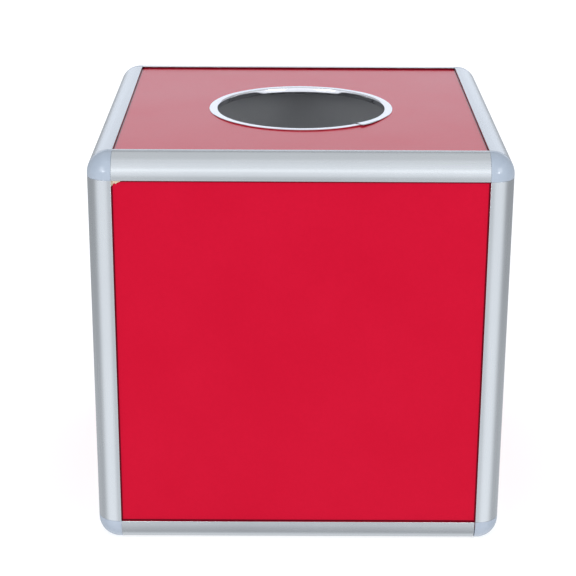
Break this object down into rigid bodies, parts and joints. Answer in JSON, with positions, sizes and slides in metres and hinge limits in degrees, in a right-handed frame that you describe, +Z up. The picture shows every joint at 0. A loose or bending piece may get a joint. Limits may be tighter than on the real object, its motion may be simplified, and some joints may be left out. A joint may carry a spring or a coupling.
{
  "type": "drop box",
  "caption": "Cube drop box with a rounded aluminium frame, grey corner connectors, red boards, a trimmed round hand hole in the top and a lockable rear door.",
  "frame": {"origin": "on the ground at the middle of the frame's base", "axes": "+X to the right seen from the front, -Y out of the front, +Z up"},
  "size_m": [0.3, 0.3272, 0.3],
  "materials": {
    "anodised_aluminium": "satin anodised, fine lines along the extrusion",
    "grey_connector": "satin moulded plastic",
    "red_laminate": "satin red laminate on a 3 mm board, grey inside",
    "chrome_strip": "bright metallised edging strip",
    "grey_strip": "matt",
    "hinge_steel": "zinc plated",
    "lock_plating": "nickel plated",
    "plug_brass": "polished brass, nickel face"
  },
  "bodies": {
    "box": {"front_top_rail": "anodised_aluminium", "back_top_rail": "anodised_aluminium", "left_top_rail": "anodised_aluminium", "right_top_rail": "anodised_aluminium", "front_bottom_rail": "anodised_aluminium", "back_bottom_rail": "anodised_aluminium", "left_bottom_rail": "anodised_aluminium", "right_bottom_rail": "anodised_aluminium", "front_left_post": "anodised_aluminium", "front_right_post": "anodised_aluminium", "back_left_post": "anodised_aluminium", "back_right_post": "anodised_aluminium", "front_left_top_corner": "grey_connector", "front_right_top_corner": "grey_connector", "back_left_top_corner": "grey_connector", "back_right_top_corner": "grey_connector", "front_left_bottom_corner": "grey_connector", "front_right_bottom_corner": "grey_connector", "back_left_bottom_corner": "grey_connector", "back_right_bottom_corner": "grey_connector", "top_panel": "red_laminate", "bottom_panel": "red_laminate", "front_panel": "red_laminate", "left_panel": "red_laminate", "right_panel": "red_laminate", "back_panel": "red_laminate", "hole_trim": "chrome_strip", "upper_door_stop": "grey_strip", "lower_door_stop": "grey_strip", "latch_door_stop": "grey_strip", "upper_hinge_fixed_leaf": "hinge_steel", "upper_hinge_pin": "hinge_steel", "lower_hinge_fixed_leaf": "hinge_steel", "lower_hinge_pin": "hinge_steel", "fixed_hinge_screws": "hinge_steel", "fixed_hinge_nuts": "hinge_steel"},
    "door": {"door_panel": "red_laminate", "upper_hinge_door_leaf": "hinge_steel", "lower_hinge_door_leaf": "hinge_steel", "door_hinge_screws": "hinge_steel", "door_hinge_nuts": "hinge_steel", "lock_body": "lock_plating", "lock_nut": "lock_plating"},
    "lock": {"lock_plug": "plug_brass", "lock_cam": "lock_plating", "cam_washer": "lock_plating", "cam_screw": "lock_plating"},
    "key": {"key": "lock_plating"}
  },
  "joints": [
    {"name": "door_hinge", "type": "hinge", "parent": "box", "child": "door", "pos_m": [0.09575, 0.1511, 0.125], "axis": [0, 0, -1], "range_deg": [0, 170]},
    {"name": "lock_turn", "type": "hinge", "parent": "door", "child": "lock", "pos_m": [-0.073, 0.1484, 0.125], "axis": [0, 1, 0], "range_deg": [0, 90]},
    {"name": "key_slide", "type": "slide", "parent": "lock", "child": "key", "axis": [0, 1, 0], "range_m": [0, 0.02]}
  ]
}
